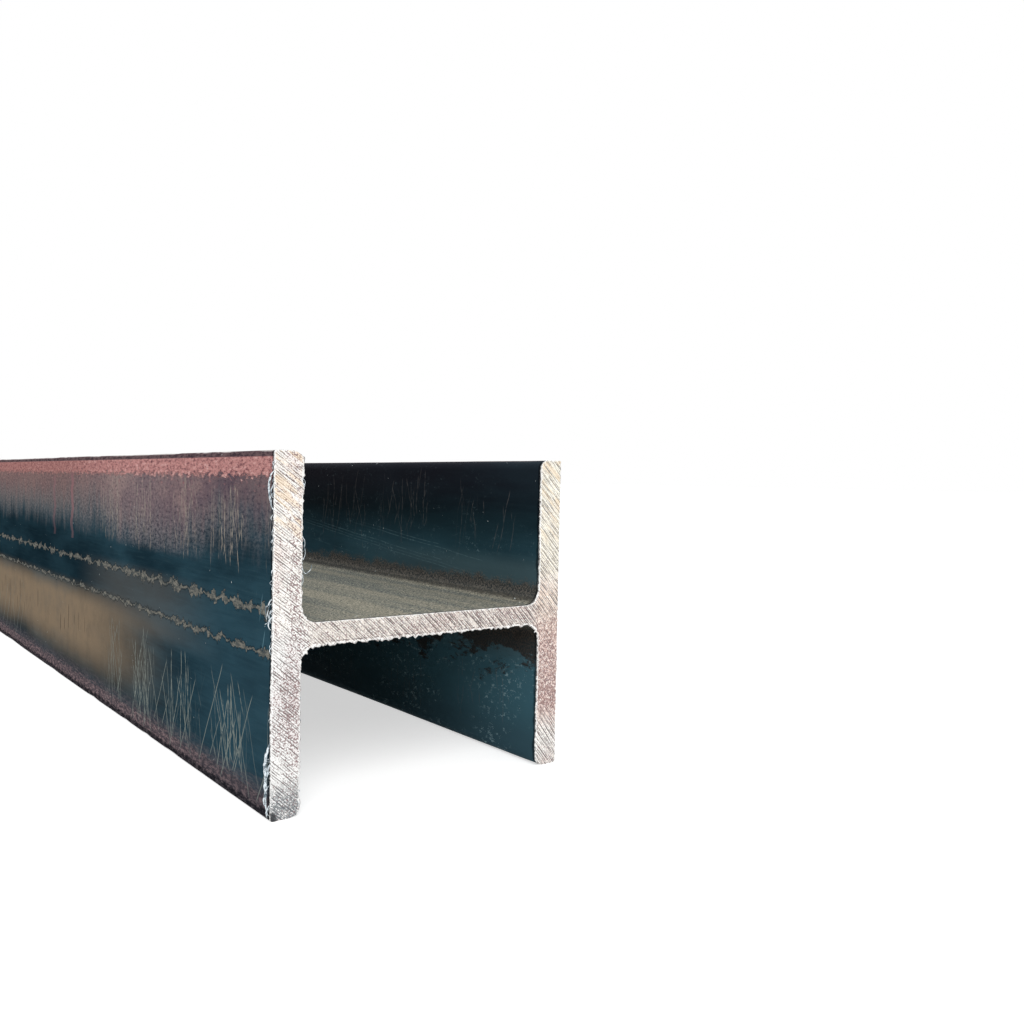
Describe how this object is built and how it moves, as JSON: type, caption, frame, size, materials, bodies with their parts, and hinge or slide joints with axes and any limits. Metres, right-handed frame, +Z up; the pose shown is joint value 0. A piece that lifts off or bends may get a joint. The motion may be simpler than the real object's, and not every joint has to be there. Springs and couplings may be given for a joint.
{
  "type": "steel h-beam",
  "caption": "Hot-rolled wide-flange steel H-beam, a straight sawn stock length with dark mill scale and bright sawn ends.",
  "frame": {"origin": "on the floor, under the middle of the beam, as it lies on the tips of its two flanges", "axes": "+Y along the beam, +X across the section from one flange to the other, +Z up the flanges"},
  "size_m": [0.1, 6, 0.1],
  "materials": {
    "mill_scale": "blue-grey hot-rolled mill scale with red-brown rust along the flange edges",
    "sawn_steel": "bright band-sawn steel with diagonal saw marks and first specks of rust"
  },
  "bodies": {
    "root": {"h_beam": "mill_scale"}
  },
  "joints": []
}
